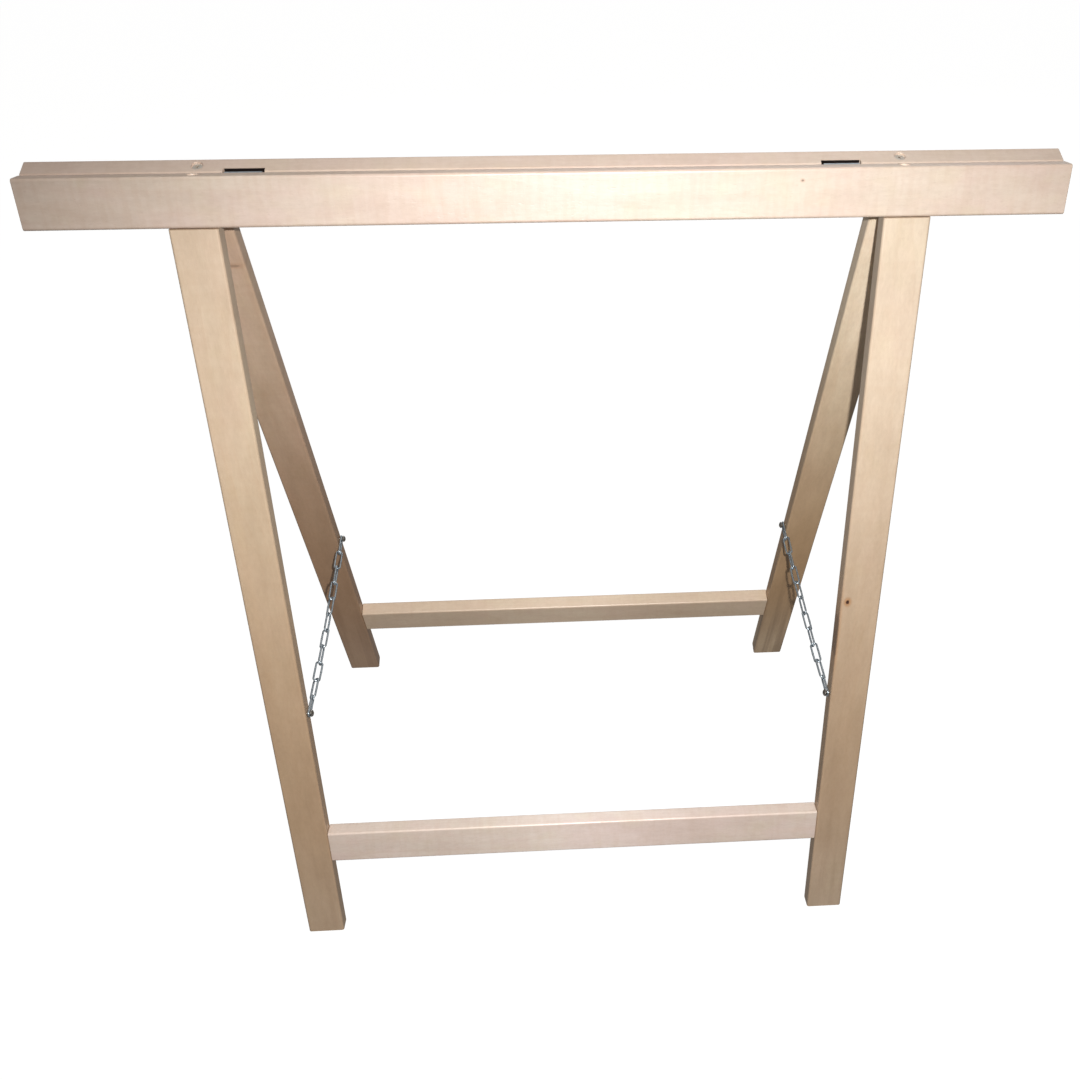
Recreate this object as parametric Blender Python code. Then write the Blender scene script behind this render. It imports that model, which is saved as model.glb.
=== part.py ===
"""Folding sawhorse of raw beech: two hinged frames held open by a pair of steel chains.

Each frame is a top rail, two legs and a low stretcher, all cut from one batten. The frames are modelled
upright, back to back, under an empty each, and both lean about the hinge pins' axis, which runs
along X. Metres, +Z up. The feet stand on z = 0 and the origin is in the middle between them.
"""

import math

import bmesh
import bpy
from mathutils import Matrix, Vector

# The batten that everything wooden is cut from
BATTEN_WIDTH = 0.037
BATTEN_THICKNESS = 0.017
EDGE_RADIUS = 0.0022
EDGE_SEGMENTS = 2

# One frame, measured down from the rail's top face
RAIL_LENGTH = 0.790
RAIL_OVERHANG = 0.105
FRAME_HEIGHT = 0.770
STRETCHER_TOP = 0.634
OPEN_HALF_ANGLE = math.radians(14.0)

# Clearances
FOLD_GAP = 0.0005       # between the two frames' inner faces when folded
FIT_GAP = 0.0003        # between neighbouring pieces
LEAF_GAP = 0.00005      # between a hinge leaf and its rail's inner face
CHAIN_PLAY = 0.00085    # on either side of an end link, between its leg and the screw's head
CUT_OVERRUN = 0.004     # how far a cutter stands out of the piece it cuts
INNER_FACE = FOLD_GAP / 2
MID_THICKNESS = INNER_FACE + BATTEN_THICKNESS / 2

# Butt hinges, let into the rails' inner faces, with their pins just under the top inner edges
HINGE_DROP = 0.0020      # from the rails' tops down to the pins' axis
HINGE_X = {"left": -0.232, "right": 0.220}
HINGE_LENGTH = 0.028
LEAF_HEIGHT = 0.0125
LEAF_THICKNESS = 0.0012
KNUCKLE_RADIUS = 0.0024
PIN_RADIUS = 0.0010
PIN_HEAD_RADIUS = 0.0017
PIN_HEAD_LENGTH = 0.0008
KNUCKLES = 3
KNUCKLE_TAB_TOP = 0.0016
KNUCKLE_TAB_OVERLAP = 0.001
NOTCH_DEPTH = {"front": 0.0028, "rear": 0.0058}
NOTCH_HEIGHT = HINGE_DROP + 0.0038
NOTCH_LENGTH = HINGE_LENGTH + 2 * (2 * FIT_GAP + PIN_HEAD_LENGTH) + FIT_GAP

# Screws: head radius, shank radius, length under the head's top, length of the cone, sink of the head
LEAF_SCREW = (0.0023, 0.0012, 0.0120, 0.0011, 0.0)
RAIL_SCREW = (0.0042, 0.0022, 0.0800, 0.0024, 0.0010)
STRETCHER_SCREW = (0.0042, 0.0022, 0.0700, 0.0024, 0.0010)
RAIL_SCREW_INSET = 0.0045     # from a leg's middle towards the sawhorse's middle
LEAF_SCREW_X = 0.0085
LEAF_SCREW_DROP = 0.0078
SCREW_SIDES = 12
CHAIN_SCREW_SHANK = 0.00175
CHAIN_SCREW_HEAD = 0.0036
CHAIN_SCREW_DOME = 0.0026
CHAIN_SCREW_BITE = 0.0220
CHAIN_SCREW_POINT = 0.0030
CHAIN_SCREW_DEPTH = 0.0105

# Long-link chain: inner length of a link, outer width, wire radius
LINK_LENGTH = 0.0239
LINK_WIDTH = 0.0084
WIRE_RADIUS = 0.00105
LINK_ARC_SEGMENTS = 6
WIRE_SIDES = 6
END_SLOPE = math.radians(4.0)
LINK_ROLLS = (92, 35, 155, 98, 18, 108, 30, 150, 92, 152, 90)
LINKS = len(LINK_ROLLS)
MIDDLE_LINK = LINKS // 2

# Derived sizes
CLEAR_WIDTH = RAIL_LENGTH - 2 * (RAIL_OVERHANG + BATTEN_WIDTH)
LEG_X = {"left": -(CLEAR_WIDTH + BATTEN_WIDTH) / 2, "right": (CLEAR_WIDTH + BATTEN_WIDTH) / 2}
PIN_HEIGHT = (FRAME_HEIGHT - HINGE_DROP) * math.cos(OPEN_HALF_ANGLE) - INNER_FACE * math.sin(OPEN_HALF_ANGLE)
LINK_STEP = LINK_LENGTH - FIT_GAP
END_LINK_REACH = (LINK_LENGTH - FIT_GAP) / 2 - CHAIN_SCREW_SHANK - FIT_GAP / 2
CHAIN_STAND_OFF = CHAIN_PLAY + WIRE_RADIUS
INWARD = {"left": 1, "right": -1}
OUTWARD = {"front": -1, "rear": 1}


def clear_scene():
    """Remove whatever the file holds before the model is made."""
    for thing in list(bpy.data.objects):
        bpy.data.objects.remove(thing, do_unlink=True)


def finish(name, colour, roughness, metallic):
    """One surface finish, shared by the pieces that have it."""
    made = bpy.data.materials.new(name)
    made.use_nodes = True
    shader = made.node_tree.nodes["Principled BSDF"]
    shader.inputs["Base Color"].default_value = (*colour, 1.0)
    shader.inputs["Roughness"].default_value = roughness
    shader.inputs["Metallic"].default_value = metallic
    return made


def new_object(name, mesh, parent=None, material=None):
    """Link a mesh into the scene under its parent."""
    made = bpy.data.objects.new(name, mesh)
    bpy.context.collection.objects.link(made)
    made.parent = parent
    if material:
        mesh.materials.append(material)
    return made


def to_mesh(name, shape, smooth_angle=None):
    """Turn a bmesh into a mesh with its faces pointing out."""
    bmesh.ops.recalc_face_normals(shape, faces=shape.faces)
    mesh = bpy.data.meshes.new(name)
    shape.to_mesh(mesh)
    shape.free()
    if smooth_angle:
        mesh.shade_smooth()
        mesh.set_sharp_from_angle(angle=math.radians(smooth_angle))
    return mesh


def box_shape(low, high):
    """The bmesh of a plain box between two corners."""
    shape = bmesh.new()
    bmesh.ops.create_cube(shape, size=1.0)
    bmesh.ops.scale(shape, vec=Vector(high) - Vector(low), verts=shape.verts)
    bmesh.ops.translate(shape, vec=(Vector(high) + Vector(low)) / 2, verts=shape.verts)
    return shape


def box_mesh(name, low, high):
    """A plain box between two corners."""
    return to_mesh(name, box_shape(low, high))


def batten_mesh(name, low, high, axis):
    """A length of batten whose four edges along one axis are rounded over."""
    shape = box_shape(low, high)
    length = high[axis] - low[axis]
    long_edges = [
        edge for edge in shape.edges
        if math.isclose(abs(edge.verts[0].co[axis] - edge.verts[1].co[axis]), length, rel_tol=0.01)
    ]
    bmesh.ops.bevel(
        shape, geom=long_edges, offset=EDGE_RADIUS, segments=EDGE_SEGMENTS, profile=0.5, affect="EDGES"
    )
    return to_mesh(name, shape, smooth_angle=50)


def turned_mesh(name, profile, sides=SCREW_SIDES):
    """Turn a profile of (radius, depth) about the local -Z axis; it starts and ends on the axis."""
    shape = bmesh.new()
    rings = []
    for radius, depth in profile:
        if radius == 0:
            rings.append([shape.verts.new((0, 0, -depth))])
            continue
        turns = [2 * math.pi * k / sides for k in range(sides)]
        rings.append([shape.verts.new((radius * math.cos(a), radius * math.sin(a), -depth)) for a in turns])
    for upper, lower in zip(rings, rings[1:]):
        for k in range(sides):
            corners = [upper[k % len(upper)], upper[(k + 1) % len(upper)]]
            corners += [lower[(k + 1) % len(lower)], lower[k % len(lower)]]
            shape.faces.new(list(dict.fromkeys(corners)))
    return to_mesh(name, shape, smooth_angle=40)


def tube_mesh(name, radius, hole, low, high, sides=SCREW_SIDES):
    """A straight tube along X."""
    shape = bmesh.new()
    rings = []
    for size, x in ((radius, low), (radius, high), (hole, high), (hole, low)):
        turns = [2 * math.pi * (k + 0.5) / sides for k in range(sides)]
        rings.append([shape.verts.new((x, size * math.cos(a), size * math.sin(a))) for a in turns])
    for here, following in zip(rings, rings[1:] + rings[:1]):
        for k in range(sides):
            after = (k + 1) % sides
            shape.faces.new((here[k], here[after], following[after], following[k]))
    return to_mesh(name, shape, smooth_angle=40)


def along(direction):
    """The turn that takes the local -Z axis to a direction."""
    return Vector((0, 0, -1)).rotation_difference(Vector(direction)).to_euler()


def combine(target, other, operation):
    """Add a Boolean with a guide object, which is hidden and stays out of the model."""
    other.hide_render = True
    other.display_type = "WIRE"
    joined = target.modifiers.new(other.name, "BOOLEAN")
    joined.operation = operation
    joined.solver = "EXACT"
    joined.object = other
    return joined


def cut_box(target, low, high):
    """Cut a box out of a piece."""
    name = f"cut_{target.name}_{len(target.modifiers)}"
    combine(target, new_object(name, box_mesh(name, low, high), target.parent), "DIFFERENCE")


def screw_profile(sizes):
    """Outline of a countersunk screw, from the middle of its head to its point."""
    head, shank, length, cone, _ = sizes
    return ((0, 0), (head, 0), (shank, cone), (shank, length - 2 * shank), (0, length))


def drill(target, sizes, place, direction, cone=True):
    """Cut the clearance hole of a countersunk screw, open above its head."""
    head, shank, length, depth, sink = sizes
    name = f"cut_{target.name}_{len(target.modifiers)}"
    wide = head + FIT_GAP
    narrow = shank + FIT_GAP
    outline = [(0, -CUT_OVERRUN), (narrow, -CUT_OVERRUN)]
    if cone:
        outline = [(0, -CUT_OVERRUN), (wide, -CUT_OVERRUN), (wide, FIT_GAP), (narrow, depth + FIT_GAP)]
    outline += [(narrow, length + FIT_GAP), (0, length + FIT_GAP)]
    cutter = new_object(name, turned_mesh(name, outline), target.parent)
    cutter.rotation_euler = along(direction)
    cutter.location = Vector(place) + Vector(direction) * sink
    combine(target, cutter, "DIFFERENCE")


def drive(name, sizes, place, direction, parent, material):
    """A countersunk screw, its head sunk below the place where it enters."""
    made = new_object(name, turned_mesh(name, screw_profile(sizes)), parent, material)
    made.rotation_euler = along(direction)
    made.location = Vector(place) + Vector(direction) * sizes[-1]
    return made


def outwards(frame, near, far):
    """The Y range of something between two distances outwards from the hinge axis."""
    return sorted((OUTWARD[frame] * near, OUTWARD[frame] * far))


def frame_pivot(frame):
    """The empty above the hinge axis, level with the rail's top, that opens a frame to its standing angle."""
    pivot = bpy.data.objects.new(f"{frame}_pivot", None)
    bpy.context.collection.objects.link(pivot)
    lean = OUTWARD[frame] * OPEN_HALF_ANGLE
    pivot.location = Vector((0, 0, PIN_HEIGHT)) + Matrix.Rotation(lean, 3, "X") @ Vector((0, 0, HINGE_DROP))
    pivot.rotation_euler = (lean, 0, 0)
    return pivot


def rail(frame, pivot, wood):
    """A top rail, with its hinge recesses and the holes for its screws."""
    near, far = outwards(frame, INNER_FACE, INNER_FACE + BATTEN_THICKNESS)
    low, high = (-RAIL_LENGTH / 2, near, -BATTEN_WIDTH), (RAIL_LENGTH / 2, far, 0)
    made = new_object(f"{frame}_rail", batten_mesh(f"{frame}_rail", low, high, 0), pivot, wood)
    middle = OUTWARD[frame] * MID_THICKNESS
    recess = INNER_FACE + LEAF_THICKNESS + 2 * FIT_GAP
    for x in HINGE_X.values():
        near, far = outwards(frame, -CUT_OVERRUN, NOTCH_DEPTH[frame])
        half = NOTCH_LENGTH / 2
        cut_box(made, (x - half, near, -NOTCH_HEIGHT), (x + half, far, CUT_OVERRUN))
        near, far = outwards(frame, -CUT_OVERRUN, recess)
        half = HINGE_LENGTH / 2 + FIT_GAP
        lower = -HINGE_DROP - LEAF_HEIGHT - FIT_GAP
        cut_box(made, (x - half, near, lower), (x + half, far, -NOTCH_HEIGHT / 2))
        for side in (-1, 1):
            place = (x + side * LEAF_SCREW_X, 0, -HINGE_DROP - LEAF_SCREW_DROP)
            drill(made, LEAF_SCREW, place, (0, OUTWARD[frame], 0), cone=False)
    for side in LEG_X:
        drill(made, RAIL_SCREW, (rail_screw_x(side), middle, 0), (0, 0, -1))
    return made


def leg(frame, side, pivot, wood):
    """A leg, butted under the rail, with the holes for its three screws."""
    near, far = outwards(frame, INNER_FACE, INNER_FACE + BATTEN_THICKNESS)
    x, half = LEG_X[side], BATTEN_WIDTH / 2
    top = -BATTEN_WIDTH - FIT_GAP
    name = f"{frame}_{side}_leg"
    low, high = (x - half, near, -FRAME_HEIGHT), (x + half, far, top)
    made = new_object(name, batten_mesh(name, low, high, 2), pivot, wood)
    middle = OUTWARD[frame] * MID_THICKNESS
    drill(made, RAIL_SCREW, (rail_screw_x(side), middle, 0), (0, 0, -1), cone=False)
    place, direction = stretcher_screw_place(frame, side)
    drill(made, STRETCHER_SCREW, place, direction)
    cutter_name = f"cut_{name}_chain"
    hole = CHAIN_SCREW_SHANK + FIT_GAP
    deep = CHAIN_SCREW_BITE + FIT_GAP
    outline = ((0, -CUT_OVERRUN), (hole, -CUT_OVERRUN), (hole, deep), (0, deep))
    cutter = new_object(cutter_name, turned_mesh(cutter_name, outline), pivot)
    cutter.rotation_euler = along((-INWARD[side], 0, 0))
    cutter.location = (x + INWARD[side] * half, OUTWARD[frame] * screw_outset(), -HINGE_DROP - screw_drop())
    combine(made, cutter, "DIFFERENCE")
    return made


def stretcher(frame, pivot, wood):
    """The low bar between a frame's legs, with a screw hole in either end."""
    near, far = outwards(frame, INNER_FACE, INNER_FACE + BATTEN_THICKNESS)
    half = CLEAR_WIDTH / 2 - FIT_GAP
    low, high = (-half, near, -STRETCHER_TOP - BATTEN_WIDTH), (half, far, -STRETCHER_TOP)
    name = f"{frame}_stretcher"
    made = new_object(name, batten_mesh(name, low, high, 0), pivot, wood)
    for side in LEG_X:
        place, direction = stretcher_screw_place(frame, side)
        drill(made, STRETCHER_SCREW, place, direction, cone=False)
    return made


def rail_screw_x(side):
    """Where along the rail a screw goes down into its leg."""
    return LEG_X[side] + INWARD[side] * RAIL_SCREW_INSET


def stretcher_screw_place(frame, side):
    """Where a stretcher screw enters its leg's outer side, and which way it goes."""
    x = LEG_X[side] - INWARD[side] * BATTEN_WIDTH / 2
    z = -STRETCHER_TOP - BATTEN_WIDTH / 2
    return (x, OUTWARD[frame] * MID_THICKNESS, z), (INWARD[side], 0, 0)


def knuckle_ranges(frame):
    """The X ranges of the knuckles that one leaf carries: the outer ones in front, the rest behind."""
    step = HINGE_LENGTH / KNUCKLES
    first = 0 if frame == "front" else 1
    starts = [-HINGE_LENGTH / 2 + step * k for k in range(first, KNUCKLES, 2)]
    return [(start + FIT_GAP / 2, start + step - FIT_GAP / 2) for start in starts]


def hinge_leaf(side, frame, pivot, steel):
    """One hinge leaf: a plate with two screw holes, joined to its knuckles."""
    name = f"{side}_hinge_{frame}_leaf"
    x, half = HINGE_X[side], HINGE_LENGTH / 2
    inner = INNER_FACE + LEAF_GAP
    near, far = outwards(frame, inner, inner + LEAF_THICKNESS)
    plate_top = -HINGE_DROP - KNUCKLE_RADIUS - FIT_GAP
    low, high = (x - half, near, -HINGE_DROP - LEAF_HEIGHT), (x + half, far, plate_top)
    made = new_object(name, box_mesh(name, low, high), pivot, steel)
    for start, end in knuckle_ranges(frame):
        tab = f"guide_{name}_tab_{len(made.modifiers)}"
        low = (x + start, near, plate_top - KNUCKLE_TAB_OVERLAP)
        high = (x + end, far, -HINGE_DROP - KNUCKLE_TAB_TOP)
        combine(made, new_object(tab, box_mesh(tab, low, high), pivot), "UNION")
        ring = f"guide_{name}_knuckle_{len(made.modifiers)}"
        tube = tube_mesh(ring, KNUCKLE_RADIUS, PIN_RADIUS + FIT_GAP, x + start, x + end)
        barrel = new_object(ring, tube, pivot)
        barrel.location = (0, 0, -HINGE_DROP)
        combine(made, barrel, "UNION")
    for way in (-1, 1):
        place = (x + way * LEAF_SCREW_X, OUTWARD[frame] * inner, -HINGE_DROP - LEAF_SCREW_DROP)
        drill(made, LEAF_SCREW, place, (0, OUTWARD[frame], 0))
    return made


def hinge_pin(side, pivot, steel):
    """A pin through the knuckles, with a peened head at both ends."""
    name = f"{side}_hinge_pin"
    stop = HINGE_LENGTH / 2 + FIT_GAP
    end = stop + PIN_HEAD_LENGTH
    outline = ((0, -end), (PIN_HEAD_RADIUS, -end), (PIN_HEAD_RADIUS, -stop), (PIN_RADIUS, -stop))
    outline += tuple((radius, -depth) for radius, depth in reversed(outline))
    made = new_object(name, turned_mesh(name, outline), pivot, steel)
    made.rotation_euler = along((1, 0, 0))
    made.location = (HINGE_X[side], 0, -HINGE_DROP)
    return made


def hinge(side, pivots, steel):
    """One butt hinge with its pin and four screws."""
    hinge_pin(side, pivots["front"], steel)
    for frame, pivot in pivots.items():
        hinge_leaf(side, frame, pivot, steel)
        for number, way in enumerate((-1, 1), start=1):
            inner = OUTWARD[frame] * (INNER_FACE + LEAF_GAP)
            place = (HINGE_X[side] + way * LEAF_SCREW_X, inner, -HINGE_DROP - LEAF_SCREW_DROP)
            name = f"{side}_hinge_{frame}_screw_{number}"
            drive(name, LEAF_SCREW, place, (0, OUTWARD[frame], 0), pivot, steel)


def link_slopes():
    """How far each link dips towards the chain's middle, from the front screw to the rear one."""
    return [END_SLOPE * (MIDDLE_LINK - k) / MIDDLE_LINK for k in range(LINKS)]


def link_spans():
    """The length of chain that each link takes up."""
    return [LINK_STEP / 2 + END_LINK_REACH] + [LINK_STEP] * (LINKS - 2) + [LINK_STEP / 2 + END_LINK_REACH]


def chain_spread():
    """The straight distance between a chain's two screws."""
    return sum(span * math.cos(slope) for span, slope in zip(link_spans(), link_slopes()))


def screw_outset():
    """How far a chain screw stands outwards from the hinge axis, across its frame."""
    return INNER_FACE + CHAIN_SCREW_DEPTH


def screw_drop():
    """How far below the hinge axis a chain screw sits, so that the chain is taut when open."""
    reach = chain_spread() / 2 - screw_outset() * math.cos(OPEN_HALF_ANGLE)
    return reach / math.sin(OPEN_HALF_ANGLE)


def chain_screw(frame, side, pivot, steel):
    """A round-head screw in a leg's inner side, which holds one end of a chain."""
    name = f"{frame}_{side}_chain_screw"
    seat = CHAIN_STAND_OFF + WIRE_RADIUS + CHAIN_PLAY
    turns = [math.radians(angle) for angle in (30, 60)]
    dome = [(CHAIN_SCREW_HEAD * math.sin(a), -seat - CHAIN_SCREW_DOME * math.cos(a)) for a in turns]
    outline = [(0, -seat - CHAIN_SCREW_DOME), *dome, (CHAIN_SCREW_HEAD, -seat)]
    outline += [(CHAIN_SCREW_SHANK, -seat), (CHAIN_SCREW_SHANK, CHAIN_SCREW_BITE - CHAIN_SCREW_POINT)]
    outline += [(0, CHAIN_SCREW_BITE)]
    made = new_object(name, turned_mesh(name, outline), pivot, steel)
    made.rotation_euler = along((-INWARD[side], 0, 0))
    x = LEG_X[side] + INWARD[side] * BATTEN_WIDTH / 2
    made.location = (x, OUTWARD[frame] * screw_outset(), -HINGE_DROP - screw_drop())
    return made


def link_mesh(name):
    """A long link of round wire, lying in the local XY plane with its length along Y."""
    bend = LINK_WIDTH / 2 - WIRE_RADIUS
    centre = LINK_LENGTH / 2 + WIRE_RADIUS - bend
    path = []
    for end in (1, -1):
        for k in range(LINK_ARC_SEGMENTS + 1):
            angle = math.pi * k / LINK_ARC_SEGMENTS
            out = Vector((end * math.cos(angle), end * math.sin(angle), 0))
            path.append((Vector((0, end * centre, 0)) + out * bend, out))
    shape = bmesh.new()
    rings = []
    for point, out in path:
        turns = [2 * math.pi * (k + 0.5) / WIRE_SIDES for k in range(WIRE_SIDES)]
        ring = [point + WIRE_RADIUS * (math.cos(a) * out + math.sin(a) * Vector((0, 0, 1))) for a in turns]
        rings.append([shape.verts.new(corner) for corner in ring])
    for here, following in zip(rings, rings[1:] + rings[:1]):
        for k in range(WIRE_SIDES):
            after = (k + 1) % WIRE_SIDES
            shape.faces.new((here[k], here[after], following[after], following[k]))
    return to_mesh(name, shape, smooth_angle=80)


def link_turn(slope, roll):
    """Turn a link from the XY plane: rolled about its length, then dipped along the chain."""
    return Matrix.Rotation(-slope, 4, "X") @ Matrix.Rotation(math.radians(roll), 4, "Y")


def chain(side, steel):
    """Eleven links from the front screw to the rear one, each with its origin where it meets the last."""
    x = LEG_X[side] + INWARD[side] * (BATTEN_WIDTH / 2 + CHAIN_STAND_OFF)
    lean = OPEN_HALF_ANGLE
    height = PIN_HEIGHT - screw_drop() * math.cos(lean) + screw_outset() * math.sin(lean)
    place = Vector((x, -chain_spread() / 2, height))
    for number, (slope, span) in enumerate(zip(link_slopes(), link_spans()), start=1):
        direction = Vector((0, math.cos(slope), -math.sin(slope)))
        ahead = END_LINK_REACH if number == 1 else LINK_STEP / 2
        roll = LINK_ROLLS[number - 1] if side == "right" else 180 - LINK_ROLLS[number - 1]
        name = f"{side}_chain_link_{number:02d}"
        mesh = link_mesh(name)
        mesh.transform(Matrix.Translation(direction * ahead) @ link_turn(slope, roll))
        new_object(name, mesh, None, steel).location = place
        place = place + direction * span


def main():
    """Make both frames, then the hinges and the chains that join them."""
    clear_scene()
    wood = finish("beech", (0.66, 0.52, 0.38), 0.62, 0.0)
    zinc = finish("zinc_plated_steel", (0.62, 0.65, 0.68), 0.32, 1.0)
    bright = finish("bright_steel", (0.70, 0.69, 0.66), 0.28, 1.0)
    pivots = {frame: frame_pivot(frame) for frame in OUTWARD}
    for frame, pivot in pivots.items():
        rail(frame, pivot, wood)
        stretcher(frame, pivot, wood)
        for side in LEG_X:
            leg(frame, side, pivot, wood)
            middle = OUTWARD[frame] * MID_THICKNESS
            name = f"{frame}_{side}_rail_screw"
            drive(name, RAIL_SCREW, (rail_screw_x(side), middle, 0), (0, 0, -1), pivot, zinc)
            place, direction = stretcher_screw_place(frame, side)
            drive(f"{frame}_{side}_stretcher_screw", STRETCHER_SCREW, place, direction, pivot, zinc)
            chain_screw(frame, side, pivot, bright)
    for side in HINGE_X:
        hinge(side, pivots, zinc)
        chain(side, zinc)


main()
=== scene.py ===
"""Folding sawhorse of raw beech, with zinc-plated hinges, screws and chains.

Every piece is modelled over its CAD solid and rides on the same body. A frame's pieces are made upright,
back to back on the hinge axis, and are then leant outwards by the opening angle.
"""

import math
import random
from collections import namedtuple

import bmesh
import bpy
from mathutils import Euler, Matrix, Vector


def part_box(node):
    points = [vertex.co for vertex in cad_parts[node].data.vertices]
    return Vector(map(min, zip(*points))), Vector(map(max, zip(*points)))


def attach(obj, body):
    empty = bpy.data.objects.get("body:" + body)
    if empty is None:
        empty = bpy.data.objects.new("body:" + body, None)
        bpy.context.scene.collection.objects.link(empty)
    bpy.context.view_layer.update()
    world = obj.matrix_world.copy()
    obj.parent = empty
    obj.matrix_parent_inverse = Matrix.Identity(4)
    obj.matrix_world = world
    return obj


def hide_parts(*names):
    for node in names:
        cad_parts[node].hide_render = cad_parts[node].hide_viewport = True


bl_info = {
    "name": "Folding Sawhorse",
    "version": (1, 0, 0),
    "blender": (4, 5, 0),
    "location": "3D View > Sidebar > Sawhorse",
    "description": "Models a folding wooden sawhorse piece by piece",
    "category": "Add Mesh",
}

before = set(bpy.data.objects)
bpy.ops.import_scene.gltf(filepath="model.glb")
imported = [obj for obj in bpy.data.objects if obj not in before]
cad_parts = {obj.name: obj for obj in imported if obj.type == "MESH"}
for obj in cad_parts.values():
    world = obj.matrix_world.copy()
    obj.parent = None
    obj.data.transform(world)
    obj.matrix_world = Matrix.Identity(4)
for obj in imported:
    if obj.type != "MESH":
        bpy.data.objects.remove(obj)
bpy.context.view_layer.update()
RAIL_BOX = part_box("front_rail")

MM = 0.001
LEAF_GAP = 0.05 * MM     # between a hinge leaf and its rail's inner face
OVERRUN = 4 * MM         # how far a cutter stands out of the piece it cuts
BORE_PLAY = 0.2 * MM     # around a chain screw in its bore
SAME_PLACE = 1e-6        # points nearer than this are one point
SIDES = ("left", "right")
INWARD = {"left": 1, "right": -1}
OUTWARD = {"front": -1, "rear": 1}


# Sizes and colours ---------------------------------------------------------------------------------


def length(name, description, default):
    """A length property, in metres."""
    return bpy.props.FloatProperty(
        name=name, description=description, default=default, min=0.0, unit="LENGTH", precision=5
    )


def angle(name, description, degrees):
    """An angle property, kept in radians."""
    return bpy.props.FloatProperty(
        name=name, description=description, default=math.radians(degrees), unit="ROTATION", precision=4
    )


def colour(name, description, default):
    """A colour property."""
    return bpy.props.FloatVectorProperty(
        name=name, description=description, default=default, size=3, min=0.0, max=1.0, subtype="COLOR"
    )


def position(name, description, default):
    """A place along an axis, in metres."""
    return bpy.props.FloatProperty(name=name, description=description, default=default, unit="LENGTH")


def power(name, description, default):
    """A lamp's power, in watts."""
    return bpy.props.FloatProperty(name=name, description=description, default=default, unit="POWER")


def plain(name, description, default):
    """A number without a unit."""
    return bpy.props.FloatProperty(name=name, description=description, default=default)


class SawhorseTimber(bpy.types.PropertyGroup):
    """Sizes of the two wooden frames."""

    width: length("Batten width", "Wide side of the batten", 0.037)
    thickness: length("Batten thickness", "Narrow side of the batten", 0.017)
    edge: length("Edge radius", "Rounding of the batten's long edges", 0.0022)
    cut_edge: length("Cut edge", "Rounding of the sawn ends' edges", 0.0004)
    rail: length("Rail length", "Length of a top rail", RAIL_BOX[1][0] - RAIL_BOX[0][0])
    overhang: length("Overhang", "How far a rail reaches past its legs", 0.105)
    height: length("Frame height", "From the rail's top to the feet, along the leg", 0.770)
    stretcher: length("Stretcher drop", "From the rail's top to the stretcher's top", 0.634)
    lean: angle("Lean", "How far each frame leans from upright", 14.0)
    fold_gap: length("Fold gap", "Between the two frames when folded", 0.0005)
    joint_gap: length("Joint gap", "Between neighbouring pieces", 0.0003)


class SawhorseHinges(bpy.types.PropertyGroup):
    """Sizes of the two butt hinges."""

    left: position("Left hinge", "Place of the left hinge along the rail", -0.232)
    right: position("Right hinge", "Place of the right hinge along the rail", 0.220)
    sunk: length("Sunk", "From the rails' tops down to the pins' axis", 0.002)
    size: length("Hinge length", "Length of the knuckles and leaves", 0.028)
    drop: length("Leaf height", "From the pin to the leaf's lower edge", 0.0125)
    leaf: length("Leaf thickness", "Thickness of the sheet", 0.0012)
    knuckle: length("Knuckle radius", "Outer radius of the knuckles", 0.0024)
    pin: length("Pin radius", "Radius of the hinge pin", 0.001)
    pin_head: length("Pin head radius", "Radius of the pin's peened ends", 0.0017)
    pin_end: length("Pin head length", "Length of the pin's peened ends", 0.0008)
    front_notch: length("Front notch", "How deep the front rail is cut for the knuckles", 0.0028)
    rear_notch: length("Rear notch", "How deep the rear rail is cut for the knuckles", 0.0058)
    notch_height: length("Notch height", "How far down the recess for the knuckles goes", 0.0058)
    screw_x: length("Screw spacing", "From the leaf's middle to a screw", 0.0085)
    screw_drop: length("Screw drop", "From the pin to a leaf screw", 0.0078)


class SawhorseScrews(bpy.types.PropertyGroup):
    """Sizes of the screws."""

    head: length("Head radius", "Head of the rail and stretcher screws", 0.0042)
    shank: length("Shank radius", "Shank of the rail and stretcher screws", 0.0022)
    cone: length("Cone", "Height of the countersunk head", 0.0024)
    sink: length("Sink", "How far the head sits below the wood", 0.001)
    rail: length("Rail screw", "Length of a rail screw", 0.080)
    inset: length("Inset", "From a leg's middle to its rail screw", 0.0045)
    stretcher: length("Stretcher screw", "Length of a stretcher screw", 0.070)
    leaf_head: length("Leaf screw head", "Head radius of a hinge screw", 0.0023)
    leaf_shank: length("Leaf screw shank", "Shank radius of a hinge screw", 0.0012)
    leaf_cone: length("Leaf screw cone", "Height of a hinge screw's head", 0.0011)
    leaf: length("Leaf screw", "Length of a hinge screw", 0.012)
    chain_head: length("Chain screw head", "Head radius of a chain screw", 0.0036)
    chain_dome: length("Chain screw dome", "Height of a chain screw's round head", 0.0026)
    chain_shank: length("Chain screw shank", "Shank radius of a chain screw", 0.00175)
    chain_bite: length("Chain screw bite", "How deep a chain screw goes into the leg", 0.022)
    chain_depth: length("Chain screw place", "From the frame's inner face to the screw", 0.0105)


class SawhorseChains(bpy.types.PropertyGroup):
    """Sizes of the two long-link chains."""

    inner: length("Link length", "Inside length of a link", 0.0239)
    width: length("Link width", "Outside width of a link", 0.0084)
    wire: length("Wire radius", "Radius of the wire", 0.00105)
    drawn: length("Drawn radius", "The wire as drawn, thinner so that folded links stay apart", 0.00100)
    play: length("Play", "On either side of an end link on its screw", 0.00085)
    dip: angle("Dip", "Slope of the end links", 4.0)


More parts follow.
